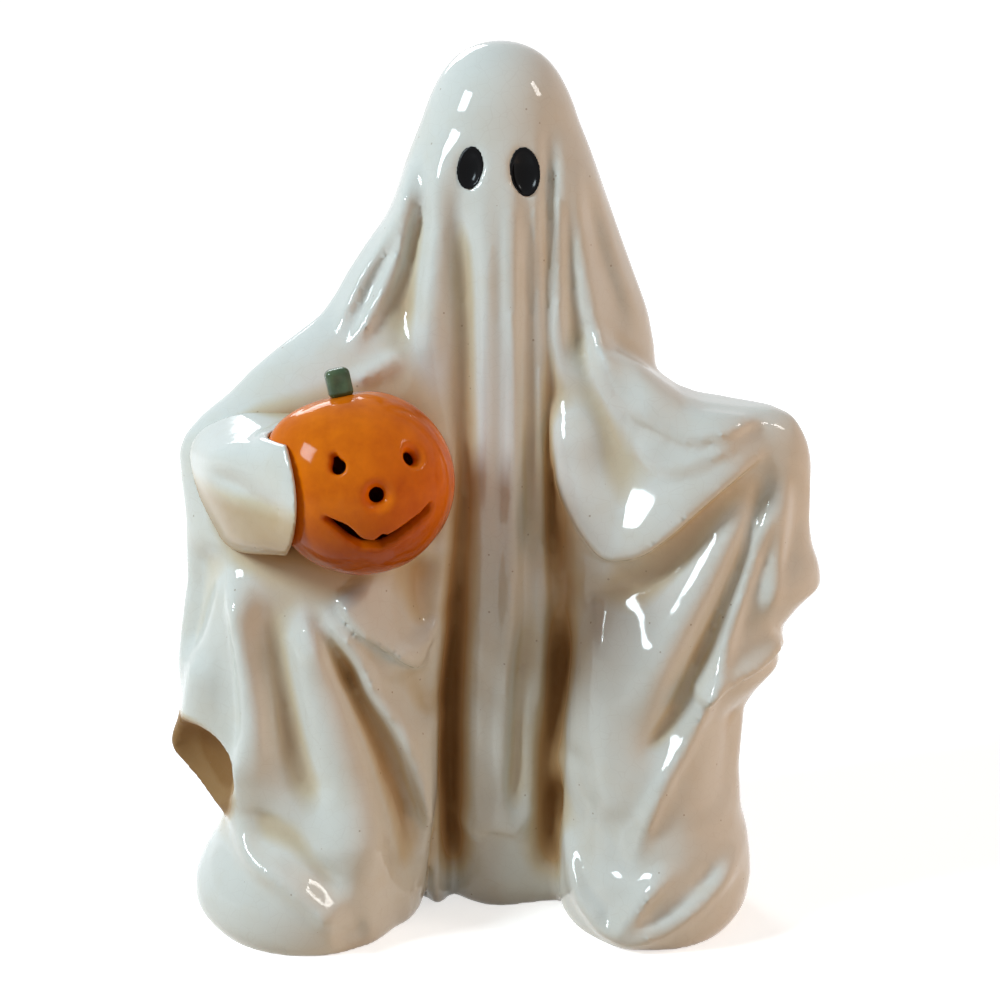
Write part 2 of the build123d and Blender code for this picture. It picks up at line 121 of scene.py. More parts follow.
# Sheet over the head and down the middle: half width, and depth before and behind the axis
TRUNK_SIDE = Profile(
    ((0, 50), (60, 47.5), (120, 44), (165, 46.5), (175, 49.5), (182, 48), (190, 46.5), (203, 41.5), (215, 37),
     (228, 32.3), (240, 28), (248, 24.6), (254, 22.2), (262, 18)), spread=3)
TRUNK_FRONT = Profile(
    ((0, 27), (60, 29), (120, 30), (165, 29.5), (190, 29), (215, 27.5), (236, 25.8), (254, 20.8), (262, 17)),
    spread=5)
TRUNK_BACK = Profile(
    ((0, 42), (60, 37), (120, 33), (165, 31), (190, 30.5), (215, 29), (236, 26.5), (254, 20.8), (262, 17)),
    spread=5)
HEAD_RADIUS = 21.0
HEAD_HEIGHT = 251.0
HEAD_BLEND = 4.0

# Sheet over the left arm: the edges of an oval at each height, and its turn in degrees
LEFT_OUTER = Profile(
    ((0, -92), (7, -95), (14, -94.5), (21, -91.5), (28, -87), (35, -85), (42, -90.5), (49, -97.5),
     (54, -101.5), (58, -101.5), (63, -99.5), (70, -98), (83, -98.7), (96, -97), (109, -95), (130, -95),
     (142, -96.3), (150, -96.8), (155, -95), (161, -89.5), (167, -81.5), (174, -74.5), (180, -67),
     (186, -58.5), (190, -53), (196, -48.5), (203, -44.5), (209, -40.5), (215, -36.5), (221, -32.5)),
    spread=1.2)
LEFT_INNER = Profile(
    ((0, -22), (30, -18), (51, -15), (90, -11), (125, -7), (150, 0), (173, 2), (196, 6)), spread=6)
LEFT_FRONT = Profile(
    ((0, -45), (13, -47), (30, -42.5), (51, -37), (90, -30), (125, -22), (150, -15), (159, -12), (173, -8),
     (187, -2), (196, 3), (225, 10)), spread=4)
LEFT_BACK = Profile(((0, 34), (50, 31), (90, 28), (125, 26), (150, 26), (187, 27), (225, 30)), spread=6)
LEFT_TURN = Profile(
    ((0, 0), (51, 0), (90, 3), (125, 8), (150, 12), (159, 12), (173, 11), (187, 9), (196, 7)), spread=6)
LEFT_TOP = ((-110, 222), (110, 222))

# Sheet over the right arm, and the ridge along the top of that arm
RIGHT_OUTER = Profile(
    ((0, 80), (7, 82.5), (14, 83.5), (21, 83), (28, 82), (35, 80), (49, 79), (63, 80), (69, 80.4),
     (76, 84.7), (83, 91), (89, 90.2), (96, 91.7), (103, 97), (109, 103), (116, 102), (122, 99.7),
     (129, 98.8), (150, 99)), spread=1.2)
RIGHT_INNER = Profile(((0, 22), (13, 21.5), (30, 22), (90, 23), (109, 22), (130, 16), (151, 9)), spread=6)
RIGHT_FRONT = Profile(
    ((0, -41), (13, -43), (40, -37), (70, -33), (90, -31), (109, -29), (130, -25), (151, -19)), spread=5)
RIGHT_BACK = Profile(((0, 30), (60, 27), (90, 24), (109, 22), (130, 20), (151, 19)), spread=6)
RIGHT_TURN = Profile(((0, 0), (70, 0), (90, -4), (109, -8), (130, -12), (151, -15)), spread=6)
RIGHT_TOP = ((30, 186), (45, 178), (52, 173), (58, 169), (64, 167), (75, 165.8), (85, 165), (92, 163.5),
             (97, 160), (104, 150))
ARM_ROUND = 13.0  # how gently the cloth turns over the top of an arm
DRAPE_BLEND = 5.0  # fillet where the cloth of an arm meets the cloth of the middle


def hanging(x, y, left, right, front, back, turn=0.0):
    """A field of hanging cloth: an oval at each height, turned about its middle."""
    half_x = (right - left) / 2
    half_y = (back - front) / 2
    turn = np.radians(turn)
    aside = x - (left + right) / 2
    behind = y - (front + back) / 2
    across = (aside * np.cos(turn) + behind * np.sin(turn)) / half_x
    through = (behind * np.cos(turn) - aside * np.sin(turn)) / half_y
    reach = np.sqrt(across**2 + through**2) + TINY
    slope = np.sqrt((across / half_x) ** 2 + (through / half_y) ** 2) + TINY
    return reach * (reach - 1) / slope


def drape(x, y, z, edges, top):
    """A field of the cloth that hangs over one arm, under the ridge along the top of that arm."""
    cloth = hanging(x, y, *(edge.at(z) for edge in edges))
    return smooth_max(cloth, z - np.interp(x, *zip(*top)), ARM_ROUND)


def ghost_form(x, y, z):
    """A field of the whole sheet without its folds."""
    side = TRUNK_SIDE.at(z)
    front = AXIS_Y - TRUNK_FRONT.at(z)
    back = AXIS_Y + TRUNK_BACK.at(z)
    trunk = hanging(x, y, AXIS_X - side, AXIS_X + side, front, back)
    trunk = smooth_max(trunk, z - HEAD_HEIGHT - HEAD_RADIUS, HEAD_RADIUS)
    head = ellipsoid(x, y, z, (AXIS_X, AXIS_Y, HEAD_HEIGHT), (HEAD_RADIUS,) * 3)
    form = smooth_min(trunk, head, HEAD_BLEND)
    left = drape(x, y, z, (LEFT_OUTER, LEFT_INNER, LEFT_FRONT, LEFT_BACK, LEFT_TURN), LEFT_TOP)
    right = drape(x, y, z, (RIGHT_INNER, RIGHT_OUTER, RIGHT_FRONT, RIGHT_BACK, RIGHT_TURN), RIGHT_TOP)
    return smooth_min(smooth_min(form, left, DRAPE_BLEND), right, DRAPE_BLEND)


# Folds of the sheet

class Fold(NamedTuple):
    """A ridge of the cloth seen from the front, or a crease where its rise is negative.

    It runs through points given as (x, height). A lip drops off on the left of its path within its width,
    and slopes away on the right over a longer distance."""

    path: tuple
    width: float
    rise: float
    lip: float = 0.0
    ends: float = 0.15  # share of the path over which it fades at each end


MIDDLE_FOLDS = (  # from the viewer's left to right
    Fold(((-15, 250), (-16, 219), (-18, 197), (-18, 170)), 4.5, 2.6, ends=0.3),
    Fold(((-11, 242), (-10, 224), (-8, 207), (-7, 186), (-7, 155), (-9, 123), (-11, 93), (-13, 60),
          (-14, -30)), 3.6, -6),
    Fold(((-12, 170), (-12, 142), (-14, 116), (-16, 86), (-17, 47), (-16, -20)), 3.2, 2.8),
    Fold(((0, 242), (-1, 198), (-2, 161), (-3, 117)), 5.0, 2.4, ends=0.3),
    Fold(((-2, 107), (-4, 71), (-5, 25)), 4.2, 1.8, ends=0.3),
    Fold(((3, 233), (4, 167), (2, 123)), 2.4, -2.0, ends=0.3),
    Fold(((6, 242), (7, 167), (7, 126), (6, 93), (4, 60), (3, 20)), 2.8, 3.0),
    Fold(((10, 104), (8, 64), (6, 23)), 2.6, -3.0, ends=0.3),
    Fold(((11, 230), (11, 167), (11, 104)), 3.2, -2.6, ends=0.25),
    Fold(((14, 253), (15, 198), (16, 152), (16, 104), (16, 50)), 2.2, 2.4),
    Fold(((17, 253), (17, 197), (18, 158), (19, 104)), 2.4, -4.4),
    Fold(((21, 250), (20, 197), (20, 167)), 3.0, 2.4, ends=0.3),
    Fold(((12, 91), (12, 57), (13, 12)), 3.5, 1.8, ends=0.3),
    Fold(((22, 104), (20, 71), (19, 36), (21, 8)), 4.0, -3.6, ends=0.25),
)
CENTRE_HEM = (  # the wavy foot of the middle
    Fold(((11, 24), (5, 27), (-2, 27), (-8, 22)), 2.4, 2.5, 9.0, 0.2),
    Fold(((-12, 34), (-13, -30)), 3.0, -2.5, ends=0.4),
    Fold(((-30, 26), (-31, -30)), 4.0, -2.5, ends=0.4),
    Fold(((3, 30), (3, -30)), 7.0, 2.0, ends=0.4),
)
RIGHT_SHOULDER_FOLDS = (
    Fold(((23, 235), (24, 209), (26, 188), (30, 174), (36, 155), (37, 138)), 3.0, -3.2, ends=0.25),
    Fold(((25, 241), (28, 210), (33, 185), (38, 168)), 3.2, 2.6, ends=0.25),
    Fold(((28, 235), (33, 213), (39, 194), (42, 180)), 3.2, -2.6, ends=0.3),
    Fold(((29, 241), (37, 211), (47, 183)), 3.0, 1.8, ends=0.3),
)
RIGHT_ARM_FOLDS = (
    Fold(((85, 156), (75, 149), (63, 139), (53, 130), (45, 124), (38, 122), (33, 123), (26, 132),
          (21, 145), (19, 170)), 2.6, 7.0, 13.0),
    Fold(((84, 164), (68, 160), (58, 158), (48, 162), (38, 167)), 2.4, 2.6, 9.0, 0.2),
    Fold(((77, 160), (67, 154), (56, 149), (49, 150), (41, 157)), 2.4, 2.0, 8.0, 0.2),
    Fold(((87, 154), (69, 134), (51, 116), (36, 110), (28, 118)), 4.5, -3.6, ends=0.25),
    Fold(((84, 151), (75, 134), (65, 117), (57, 103), (48, 83), (42, 68)), 7.0, 4.2, ends=0.25),
    Fold(((85, 152), (77, 127), (71, 111), (64, 94), (54, 72), (44, 57)), 2.6, -4.4),
    Fold(((88, 147), (80, 123), (72, 98), (66, 78), (59, 64), (53, 54), (46, 37), (43, 24)), 3.0, 3.2),
    Fold(((85, 134), (79, 113), (73, 91)), 2.4, -2.2, ends=0.3),
    Fold(((90, 147), (87, 122), (84, 101)), 2.8, 2.2, ends=0.25),
    Fold(((92, 148), (92, 130), (88, 112)), 2.4, -2.0, ends=0.25),
    Fold(((92, 94), (87, 90), (82, 87), (76, 85), (70, 82), (64, 77)), 1.5, 5.0, 6.0, 0.1),
)
RIGHT_LOW_FOLDS = (
    Fold(((20, 36), (22, 51), (27, 73), (31, 94), (35, 107)), 5.0, 4.0, 16.0, 0.25),
    Fold(((76, 81), (73, 60), (70, 36)), 4.5, -2.8, ends=0.3),
    Fold(((25, 64), (29, 47), (34, 38)), 2.4, -2.0, ends=0.3),
    Fold(((21, 37), (26, 17), (31, 10), (36, 6), (42, 11), (49, 21), (59, 29)), 3.2, 3.8, ends=0.2),
    Fold(((37, 46), (39, 31), (41, 19)), 5.5, -3.0, ends=0.35),
    Fold(((34, 0), (49, 7), (64, 16), (73, 23), (80, 29)), 3.6, 3.4, ends=0.2),
    Fold(((45, 7), (54, 13), (64, 21), (72, 28)), 2.4, -2.2, ends=0.25),
)
LEFT_LOW_FOLDS = (
    Fold(((-85, 126), (-87, 113), (-90, 98), (-93, 83)), 4.0, -4.5, ends=0.25),
    Fold(((-99, 57), (-95, 70), (-92, 84), (-86, 99), (-80, 118)), 3.0, 3.6, 9.0, 0.2),
    Fold(((-80, 46), (-77, 60), (-75, 72), (-76, 90), (-78, 105), (-80, 122)), 2.6, 4.0, 10.0, 0.2),
    Fold(((-77, 120), (-75, 99), (-71, 77), (-70, 52)), 5.0, 3.6, ends=0.3),
    Fold(((-68, 112), (-65, 97), (-62, 74), (-55, 48), (-49, 32)), 5.5, -6.0, ends=0.3),
    Fold(((-50, 102), (-43, 84), (-37, 70), (-31, 52), (-26, 30), (-24, 8)), 4.8, -7.0, ends=0.2),
    Fold(((-59, 110), (-50, 89), (-43, 70), (-37, 51), (-31, 18)), 4.0, 7.0, 14.0, 0.2),
    Fold(((-52, 112), (-42, 95), (-35, 79), (-25, 64), (-20, 43), (-17, 17), (-17, -20)), 3.8, 5.0),
    Fold(((-18, 85), (-22, 86), (-29, 92), (-38, 99), (-47, 111)), 2.4, 5.0, 11.0),
    Fold(((-22, 122), (-23, 105), (-19, 93)), 4.0, -4.6, ends=0.25),
    Fold(((-30, 89), (-24, 79), (-21, 62)), 5.0, -3.0, ends=0.35),
    Fold(((-80, 42), (-74, 31), (-64, 26), (-55, 20), (-47, 13), (-41, 13)), 4.0, 4.2, ends=0.2),
    Fold(((-78, 44), (-64, 38), (-53, 29), (-43, 17)), 3.6, -3.8, ends=0.25),
    Fold(((-49, 6), (-43, 7), (-37, 8)), 3.0, -2.8, ends=0.35),
)
LEFT_SHOULDER_FOLDS = (
    Fold(((-22, 241), (-25, 231), (-31, 216), (-40, 201), (-48, 184)), 2.6, 4.4, ends=0.25),
    Fold(((-20, 234), (-24, 224), (-29, 208), (-36, 193), (-44, 180)), 2.4, 3.8, ends=0.25),
    Fold(((-19, 233), (-22, 218), (-24, 203), (-29, 178)), 3.2, -3.4, ends=0.3),
    Fold(((-26, 181), (-33, 177), (-44, 172)), 2.6, 2.4, ends=0.3),
)
SHEET_FOLDS = (
    *MIDDLE_FOLDS, *CENTRE_HEM, *RIGHT_SHOULDER_FOLDS, *RIGHT_ARM_FOLDS, *RIGHT_LOW_FOLDS, *LEFT_LOW_FOLDS,
    *LEFT_SHOULDER_FOLDS,
)
MAP_LOW = (-125.0, -30.0)  # corners of the map of the folds, as (x, height)
MAP_HIGH = (125.0, 290.0)
MAP_STEP = 0.6
FOLD_REACH = 3  # how many widths from its path a fold is worked out
CREASE_SHARE = 0.8  # share of a crease's width over which its floor is rounded


def smooth_path(points, spacing=0.5):
    """Points along a curve that passes through the given ones."""
    points = np.array(points, float)
    ends = np.vstack((2 * points[0] - points[1], points, 2 * points[-1] - points[-2]))
    pieces = []
    for before, start, end, after in zip(ends, ends[1:], ends[2:], ends[3:]):
        count = max(int(np.linalg.norm(end - start) / spacing), 2)
        t = np.linspace(0, 1, count, endpoint=False)[:, None]
        bend = (2 * start - 2 * end + (end - before) / 2 + (after - start) / 2) * t**3
        bend += (3 * (end - start) - (end - before) - (after - start) / 2) * t**2
        pieces.append(start + (end - before) / 2 * t + bend)
    return np.vstack((*pieces, points[-1:]))


def ease(value):
    """A smooth step from 0 to 1."""
    value = np.clip(value, 0, 1)
    return value * value * (3 - 2 * value)


def fold_shape(fold, distance, side):
    """The cross section of a fold, from 1 on its path down to 0."""
    if fold.lip:
        return np.where(side > 0, ease(1 - distance / fold.width), np.exp(-((distance / fold.lip) ** 2)))
    if fold.rise > 0:
        return np.exp(-((distance / fold.width) ** 2))
    floor = CREASE_SHARE * fold.width
    return np.exp((floor - np.hypot(distance, floor)) / fold.width)


def fold_map(folds):
    """A map, over x and height, of how far folds stand out of the sheet."""
    axes = [np.arange(low, high, MAP_STEP) for low, high in zip(MAP_LOW, MAP_HIGH)]
    relief = np.zeros((len(axes[0]), len(axes[1])))
    for fold in folds:
        path = smooth_path(fold.path)
        reach = FOLD_REACH * max(fold.width, fold.lip)
        low = np.maximum((path.min(0) - reach - MAP_LOW) // MAP_STEP, 0).astype(int)
        high = np.maximum((path.max(0) + reach - MAP_LOW) // MAP_STEP, 0).astype(int)
        x, height = np.meshgrid(axes[0][low[0]:high[0]], axes[1][low[1]:high[1]], indexing="ij")
        spots = np.stack((x.ravel(), height.ravel()), 1)
        gaps = ((spots[:, None] - path[None]) ** 2).sum(2)
        nearest = gaps.argmin(1)
        share = nearest / (len(path) - 1)
        run = np.gradient(path, axis=0)[nearest]
        offset = spots - path[nearest]
        side = run[:, 0] * offset[:, 1] - run[:, 1] * offset[:, 0]
        shape = fold_shape(fold, np.sqrt(gaps[np.arange(len(spots)), nearest]), side)
        rise = fold.rise * ease(share / fold.ends) * ease((1 - share) / fold.ends) * shape
        relief[low[0]:high[0], low[1]:high[1]] += rise.reshape(x.shape)
    return relief


def read_map(relief, x, height):
    """The relief of a map between its samples."""
    across = np.clip((x - MAP_LOW[0]) / MAP_STEP, 0, relief.shape[0] - GRID_MARGIN)
    up = np.clip((height - MAP_LOW[1]) / MAP_STEP, 0, relief.shape[1] - GRID_MARGIN)
    column, row = across.astype(int), up.astype(int)
    across, up = across - column, up - row
    lower = relief[column, row] * (1 - across) + relief[column + 1, row] * across
    upper = relief[column, row + 1] * (1 - across) + relief[column + 1, row + 1] * across
    return lower * (1 - up) + upper * up


# Folds down the back: waves that fan out from the neck
BACK_RISE = 2.2
BACK_WAVES = 3.3  # from the middle to the side
BACK_LONG_SHARE = 0.3  # height of waves twice as long, as a share of the rise
BACK_LONG_START = 1.0  # how far round those waves are in the middle, in radians
BACK_SWAYS = ((0.4, 47, 3), (0.25, 23, 5))  # size of each sway, the height it takes, and its lean across
BACK_NECK = 24.0  # half width of the fan at the neck
BACK_FOOT = 100.0  # half width of the fan at the floor
BACK_FULL = 0.5  # share of the way down at which the waves have their full rise
NECK_HEIGHT = 225.0


def back_relief(x, z):
    """How far the folds behind stand out, as waves that fan out towards the hem and fade on the head."""
    drop = 1 - z / NECK_HEIGHT
    across = (x - AXIS_X) / (BACK_NECK + (BACK_FOOT - BACK_NECK) * ease(drop))
    sway = sum(size * np.sin(z / climb + lean * across) for size, climb, lean in BACK_SWAYS)
    waves = np.cos(math.tau * BACK_WAVES * across + sway)
    waves += BACK_LONG_SHARE * np.cos(math.pi * BACK_WAVES * across - sway + BACK_LONG_START)
    return BACK_RISE * waves * ease(drop / BACK_FULL)


SIDE_OVERLAP = -0.1  # how far folds run on past the sides, as a share of facing; below zero they stop short
SIDE_FADE = 0.4  # share of facing over which they grow to their full height
FOLD_DEPTH = 20.0  # distance from the plain sheet within which folds are worked out


def sheet_field(x, y, z, cell, relief):
    """A field of the sheet with its folds, which fade at its sides and on top."""
    form = np.broadcast_to(ghost_form(x, y, z), np.broadcast_shapes(x.shape, y.shape, z.shape))
    slopes = np.gradient(form, cell)
    near = np.nonzero(np.abs(form) < FOLD_DEPTH)
    length = np.sqrt(sum(slope[near] ** 2 for slope in slopes)) + TINY
    facing = slopes[1][near] / length
    off_top = ease((1 - slopes[2][near] / length) / SIDE_FADE)
    across, height = x[near[0], 0, 0], z[0, 0, near[2]]
    front = read_map(relief, across, height) * ease((SIDE_OVERLAP - facing) / SIDE_FADE) * off_top
    back = back_relief(across, height) * ease((SIDE_OVERLAP + facing) / SIDE_FADE) * off_top
    field = form.copy()
    field[near] = form[near] / np.maximum(length, 1) - front - back
    return field


# Meshes from fields
CELL = 1.45  # of the whole figure
FIGURE_LOW = (-107.0, -68.0, -6.5)
FIGURE_HIGH = (107.0, 68.0, 276.0)
SMALL_CELL = 0.4  # of an eye or the stem
SMALL_HALF = 9.0  # half size of the grid around it
EVEN_PUSHES = (0.5, -0.53)  # towards the neighbours and back out
BODY_ROUNDS = 6  # how often the outside of the body is evened
SMALL_ROUNDS = 2  # and the pumpkin, its stem and the hand
BLUR_ROUNDS = 2  # how often the filled space is averaged along each axis


def grid(low, high, cell):
    """Sample places along each axis, shaped to spread over a grid."""
    axes = [np.arange(start, end + cell, cell) for start, end in zip(low, high)]
    return axes[0][:, None, None], axes[1][None, :, None], axes[2][None, None, :]


def surface(field, low, cell):
    """Points and four-sided faces where a sampled field is zero, one point in each cell that it crosses."""
    inside = field < 0
    corners = list(itertools.product((0, 1), repeat=3))
    spans = [size - 1 for size in field.shape]
    windows = [tuple(slice(c, c + span) for c, span in zip(corner, spans)) for corner in corners]
    filled = sum(inside[window].astype(np.uint8) for window in windows)
    crossed = (filled > 0) & (filled < len(corners))
    cells = np.argwhere(crossed)
    number = np.full(crossed.shape, -1)
    number[crossed] = np.arange(len(cells))
    values = np.stack([field[tuple((cells + corner).T)] for corner in corners], 1)
    total = np.zeros((len(cells), 3))
    hits = np.zeros(len(cells))
    for (a, start), (b, end) in itertools.combinations(enumerate(corners), 2):
        if sum(abs(p - q) for p, q in zip(start, end)) != 1:
            continue
        cut = (values[:, a] < 0) != (values[:, b] < 0)
        share = values[cut, a] / (values[cut, a] - values[cut, b])
        total[cut] += np.array(start) + share[:, None] * (np.array(end) - np.array(start))
        hits[cut] += 1
    points = np.array(low) + cell * (cells + total / hits[:, None])
    faces = []
    for axis in range(3):
        first, second = (axis + 1) % 3, (axis + 2) % 3
        near = [slice(1, -1)] * 3
        far = [slice(1, -1)] * 3
        near[axis], far[axis] = slice(None, -1), slice(1, None)
        change = inside[tuple(near)].astype(np.int8) - inside[tuple(far)].astype(np.int8)
        edges = np.argwhere(change != 0)
        outward = change[change != 0] > 0
        edges[:, first] += 1
        edges[:, second] += 1
        ring = []
        for step_first, step_second in ((-1, -1), (0, -1), (0, 0), (-1, 0)):
            place = edges.copy()
            place[:, first] += step_first
            place[:, second] += step_second
            ring.append(number[tuple(place.T)])
        quads = np.stack(ring, 1)
        quads[~outward] = quads[~outward][:, ::-1]
        faces.append(quads)
    return points, np.vstack(faces)


def relaxed(points, faces, rounds):
    """Points eased towards their neighbours and back out, which evens a surface and keeps its volume."""
    edges = np.vstack([faces[:, [i, (i + 1) % 4]] for i in range(4)])
    counts = np.bincount(edges.ravel(), minlength=len(points))[:, None]
    for push in EVEN_PUSHES * rounds:
        sums = np.zeros_like(points)
        np.add.at(sums, edges[:, 0], points[edges[:, 1]])
        np.add.at(sums, edges[:, 1], points[edges[:, 0]])
        points = points + push * (sums / counts - points)
    return points


def add_piece(name, points, faces, slot, material, *nodes):
    """A smooth mesh piece that rides on the figure and stands for CAD nodes."""
    mesh = bpy.data.meshes.new(name)
    mesh.from_pydata((points * MM).tolist(), [], faces.tolist())
    mesh.shade_smooth()
    piece = bpy.data.objects.new(name, mesh)
    bpy.context.collection.objects.link(piece)
    mesh.materials.append(material)
    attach(piece, "root")
    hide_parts(*nodes)
    return piece


def blurred(grid_values, reach):
    """Values of a grid evened over a reach of that many cells along each axis."""
    for axis in range(3):
        for _ in range(BLUR_ROUNDS):
            padding = [(0, 0)] * 3
            padding[axis] = (reach + 1, reach)
            sums = np.cumsum(np.pad(grid_values, padding, mode="edge"), axis=axis)
            ends = [slice(None)] * 3
            starts = [slice(None)] * 3
            ends[axis] = slice(2 * reach + 1, None)
            starts[axis] = slice(None, -2 * reach - 1)
            grid_values = (sums[tuple(ends)] - sums[tuple(starts)]) / (2 * reach + 1)
    return grid_values


def shelter(field, points, low, cell, reach):
    """How much of the space within a reach of each point is filled: half on a flat, more in a fold."""
    filled = blurred((field < 0).astype(np.float32), round(reach / cell))
    places = np.clip((points - np.array(low)) / cell, 0, np.array(field.shape) - GRID_MARGIN)
    corner = places.astype(int)
    share = places - corner
    total = np.zeros(len(points))
    for step in itertools.product((0, 1), repeat=3):
        weight = np.prod(np.where(np.array(step), share, 1 - share), axis=1)
        total += weight * filled[tuple((corner + step).T)]
    return total


# Materials

class Nodes:
    """A short way to build the nodes of a material or of the world."""

    NEW_STOP = 0.5  # where a stop of a ramp is put before it is moved to its place

    def __init__(self, owner):
        self.owner = owner
        owner.use_nodes = True
        self.tree = owner.node_tree

    def add(self, kind, settings=None, **inputs):
        """A node with its settings, and with inputs set to constants or linked to outputs."""
        node = self.tree.nodes.new(kind)
        for key, value in (settings or {}).items():
            setattr(node, key, value)
        for key, value in inputs.items():
            self.put(node.inputs[key.replace("_", " ")], value)
        return node

    def put(self, socket, value):
        """Sets an input to a constant, or links it to an output."""
        if isinstance(value, bpy.types.NodeSocket):
            self.tree.links.new(value, socket)
        else:
            socket.default_value = value

    def math(self, operation, first, second=0.0, clamp=False):
        """The result of a sum or a comparison."""
        node = self.tree.nodes.new("ShaderNodeMath")
        node.operation = operation
        node.use_clamp = clamp
        self.put(node.inputs[0], first)
        self.put(node.inputs[1], second)
        return node.outputs[0]

    def mix(self, share, first, second):
        """A colour between two others."""
        node = self.tree.nodes.new("ShaderNodeMix")
        node.data_type = "RGBA"
        self.put(node.inputs["Factor"], share)
        self.put(node.inputs["A"], first if isinstance(first, bpy.types.NodeSocket) else (*first, 1))
        self.put(node.inputs["B"], second if isinstance(second, bpy.types.NodeSocket) else (*second, 1))
        return node.outputs["Result"]

    def ramp(self, value, stops):
        """A colour that changes with a value, from stop to stop."""
        node = self.tree.nodes.new("ShaderNodeValToRGB")
        elements = node.color_ramp.elements
        while len(elements) < len(stops):
            elements.new(self.NEW_STOP)
        for element, (place, color) in zip(elements, stops):
            element.position = place
            element.color = (*color, 1)
        self.put(node.inputs["Fac"], value)
        return node.outputs["Color"]

    def span(self, value, ends, results):
        """A result that goes from one of a pair to the other while a value runs between two ends."""
        node = self.add("ShaderNodeMapRange", Value=value)
        names = ("From Min", "From Max", "To Min", "To Max")
        for name, number in zip(names, (*ends, *results)):
            self.put(node.inputs[name], number)
        return node.outputs["Result"]

    def seen(self):
        """1 for rays by which the eye sees, straight, mirrored or through a surface, and 0 for light."""
        rays = self.add("ShaderNodeLightPath").outputs
        direct = self.math("ADD", rays["Is Camera Ray"], rays["Is Glossy Ray"])
        return self.math("ADD", direct, rays["Is Transmission Ray"], True)

    def finish(self, **inputs):
        """The material, with the inputs of its shader set."""
        shader = self.tree.nodes["Principled BSDF"]
        for key, value in inputs.items():
            self.put(shader.inputs[key.replace("_", " ")], value)
        return self.owner


IVORY = (0.77, 0.79, 0.75)
# The colours after ivory are painted shade, darker the deeper a point lies in a fold or the more other parts
# shelter it
LIGHT_SHADE_CREAM = (0.68, 0.60, 0.44)
SHADE_TAN = (0.52, 0.34, 0.17)
DEEP_SHADE_BROWN = (0.27, 0.145, 0.055)
PAINTED_SHADE_STOPS = ((0.0, IVORY), (0.25, LIGHT_SHADE_CREAM), (0.6, SHADE_TAN), (1.0, DEEP_SHADE_BROWN))  # painted shade by depth in a fold: ivory, then cream, tan and brown
CLOUD_MIDDLE = 0.5
CLOUD_SHARE = 0.25  # random unevenness added to the depth that sets the painted shade
CRAZE_WIDTH = 0.02  # as a share of the distance between craze lines
CRAZE_SHARE = 0.06
CRAZE_COLOR = (0.36, 0.28, 0.20)
SPECK_SIZE = 0.05
SPECK_SHARE = 0.5
SPECK_COLOR = (0.30, 0.20, 0.12)
DULL_DEPTHS = (0.35, 0.85)  # depths in a fold between which the glaze loses its gloss
WHITE_ROUGHNESS = (0.06, 0.5)
WHITE_SPECULAR = (0.5, 0.05)
ORANGE_STOPS = ((0.3, (0.70, 0.14, 0.001)), (0.7, (0.88, 0.21, 0.002)))
# painted shade, in the shelter of the hand and underneath
ORANGE_SHADE = (0.20, 0.03, 0.004)
ORANGE_SHADE_SHARE = 0.8
GREEN_STOPS = ((0.3, (0.035, 0.075, 0.03)), (0.75, (0.09, 0.15, 0.07)))
BLACK_COLOR = (0.004, 0.004, 0.005, 1)


def white_glaze():
    """Ivory glaze with painted shade, tan to brown, in the folds and where parts shelter each other, with
    fine craze lines and a few specks.
    """
    nodes = Nodes(bpy.data.materials.new("white_glaze"))
    place = nodes.add("ShaderNodeTexCoord").outputs["Object"]
    # the fold attribute holds the share of painted shade at each point
    fold = nodes.add("ShaderNodeAttribute", {"attribute_name": "fold"}).outputs["Fac"]
    clouds = nodes.add("ShaderNodeTexNoise", Vector=place, Scale=60.0, Detail=3.0).outputs["Fac"]
    uneven = nodes.math("MULTIPLY", nodes.math("SUBTRACT", clouds, CLOUD_MIDDLE), CLOUD_SHARE)
    # painted shade: ivory turns cream, tan and brown as the fold attribute grows
    color = nodes.ramp(nodes.math("ADD", fold, uneven), PAINTED_SHADE_STOPS)
    crack = nodes.add("ShaderNodeTexVoronoi", {"feature": "DISTANCE_TO_EDGE"}, Vector=place, Scale=260.0)
    line = nodes.math("LESS_THAN", crack.outputs["Distance"], CRAZE_WIDTH)
    color = nodes.mix(nodes.math("MULTIPLY", line, CRAZE_SHARE), color, CRAZE_COLOR)
    spots = nodes.add("ShaderNodeTexVoronoi", Vector=place, Scale=150.0).outputs["Distance"]
    speck = nodes.math("LESS_THAN", spots, SPECK_SIZE)
    color = nodes.mix(nodes.math("MULTIPLY", speck, SPECK_SHARE), color, SPECK_COLOR)
    ripple = nodes.add("ShaderNodeTexNoise", Vector=place, Scale=90.0, Detail=2.0).outputs["Fac"]
    bump = nodes.add("ShaderNodeBump", Height=ripple, Strength=0.06, Distance=0.0006)
    return nodes.finish(
        Base_Color=color,
        Roughness=nodes.span(fold, DULL_DEPTHS, WHITE_ROUGHNESS),
        Specular_IOR_Level=nodes.span(fold, DULL_DEPTHS, WHITE_SPECULAR),
        IOR=1.42,
        Normal=bump.outputs["Normal"],
    )


